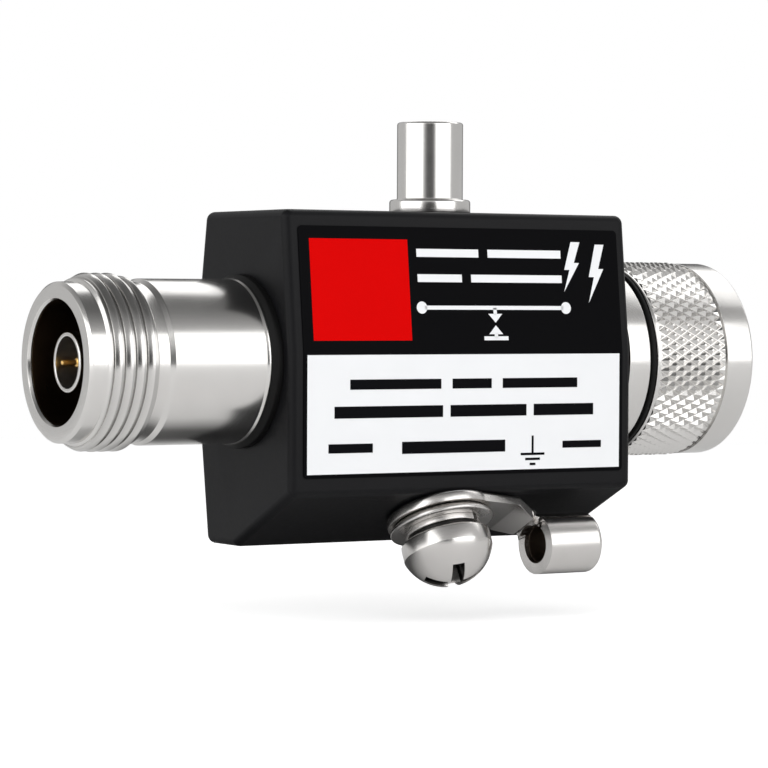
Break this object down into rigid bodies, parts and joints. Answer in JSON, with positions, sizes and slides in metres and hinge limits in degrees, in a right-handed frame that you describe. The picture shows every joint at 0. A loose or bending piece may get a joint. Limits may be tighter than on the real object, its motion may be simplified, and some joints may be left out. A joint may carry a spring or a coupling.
{
  "type": "coax lightning arrestor",
  "caption": "In-line coax surge arrestor: threaded jack and knurled-nut plug on a black block, screw cap over a gas tube, and a ground screw with crimp lug.",
  "frame": {"origin": "on the coax line's axis, at the outer end of the jack's thread", "axes": "+X along the line from the jack to the plug, -Y out of the labelled front, +Z towards the screw cap"},
  "size_m": [0.069, 0.0205, 0.0426],
  "materials": {
    "black_paint": "satin black paint on a die-cast block",
    "label_film": "printed film in black, white and red fields",
    "nickel": "turned brass with bright nickel plating",
    "gold": "gold-plated brass",
    "brass": "plain turned brass",
    "black_rubber": "matt black rubber",
    "red_rubber": "silicone rubber",
    "dark_insulator": "dark moulded insulator",
    "white_insulator": "white fluoropolymer",
    "steel": "spring steel",
    "bright_steel": "bright nickel-plated steel",
    "tinned_copper": "tinned copper sheet",
    "ceramic": "alumina"
  },
  "bodies": {
    "body": {"housing": "black_paint", "label": "label_film", "jack_shell": "nickel", "jack_gasket": "black_rubber", "jack_insulator": "dark_insulator", "jack_sleeve": "nickel", "jack_pin": "gold", "centre_conductor": "brass", "plug_shell": "nickel", "plug_insulator": "white_insulator", "plug_pin": "gold", "plug_seal": "red_rubber", "nut_rear_seal": "black_rubber", "nut_retaining_ring": "steel", "cap_gasket": "black_rubber"},
    "nut": {"coupling_nut": "nickel"},
    "gas_tube": {"gas_tube_ceramic": "ceramic", "gas_tube_lower_electrode": "steel", "gas_tube_upper_electrode": "steel", "cap_spring": "steel"},
    "screw_cap": {"cap": "nickel"},
    "washers": {"flat_washer": "bright_steel", "spring_washer": "steel"},
    "screw": {"ground_screw": "bright_steel"},
    "lug": {"ground_lug": "tinned_copper"}
  },
  "joints": [
    {"name": "nut_spin", "type": "hinge", "parent": "body", "child": "nut", "pos_m": [0.06172, 0, 0], "axis": [1, 0, 0], "continuous": true},
    {"name": "tube_lift", "type": "slide", "parent": "body", "child": "gas_tube", "axis": [0, 0, 1], "range_m": [0, 0.005]},
    {"name": "cap_turn", "type": "hinge", "parent": "gas_tube", "child": "screw_cap", "pos_m": [0.0365, 0, 0.0135], "axis": [0, 0, 1], "range_deg": [0, 2400]},
    {"name": "washer_draw", "type": "slide", "parent": "body", "child": "washers", "axis": [0, -0.4403, -0.8979], "range_m": [0, 0.0035]},
    {"name": "screw_turn", "type": "hinge", "parent": "washers", "child": "screw", "pos_m": [0.034, -0.00551, -0.01336], "axis": [0, -0.4403, -0.8979], "range_deg": [0, 1800]},
    {"name": "lug_swivel", "type": "hinge", "parent": "body", "child": "lug", "pos_m": [0.034, -0.00551, -0.01336], "axis": [0, -0.4403, -0.8979], "continuous": true}
  ],
  "couplings": [
    {"joint": "cap_turn", "follows": "tube_lift", "rad_per_m": 8377.5},
    {"joint": "screw_turn", "follows": "washer_draw", "rad_per_m": 8975.9}
  ]
}
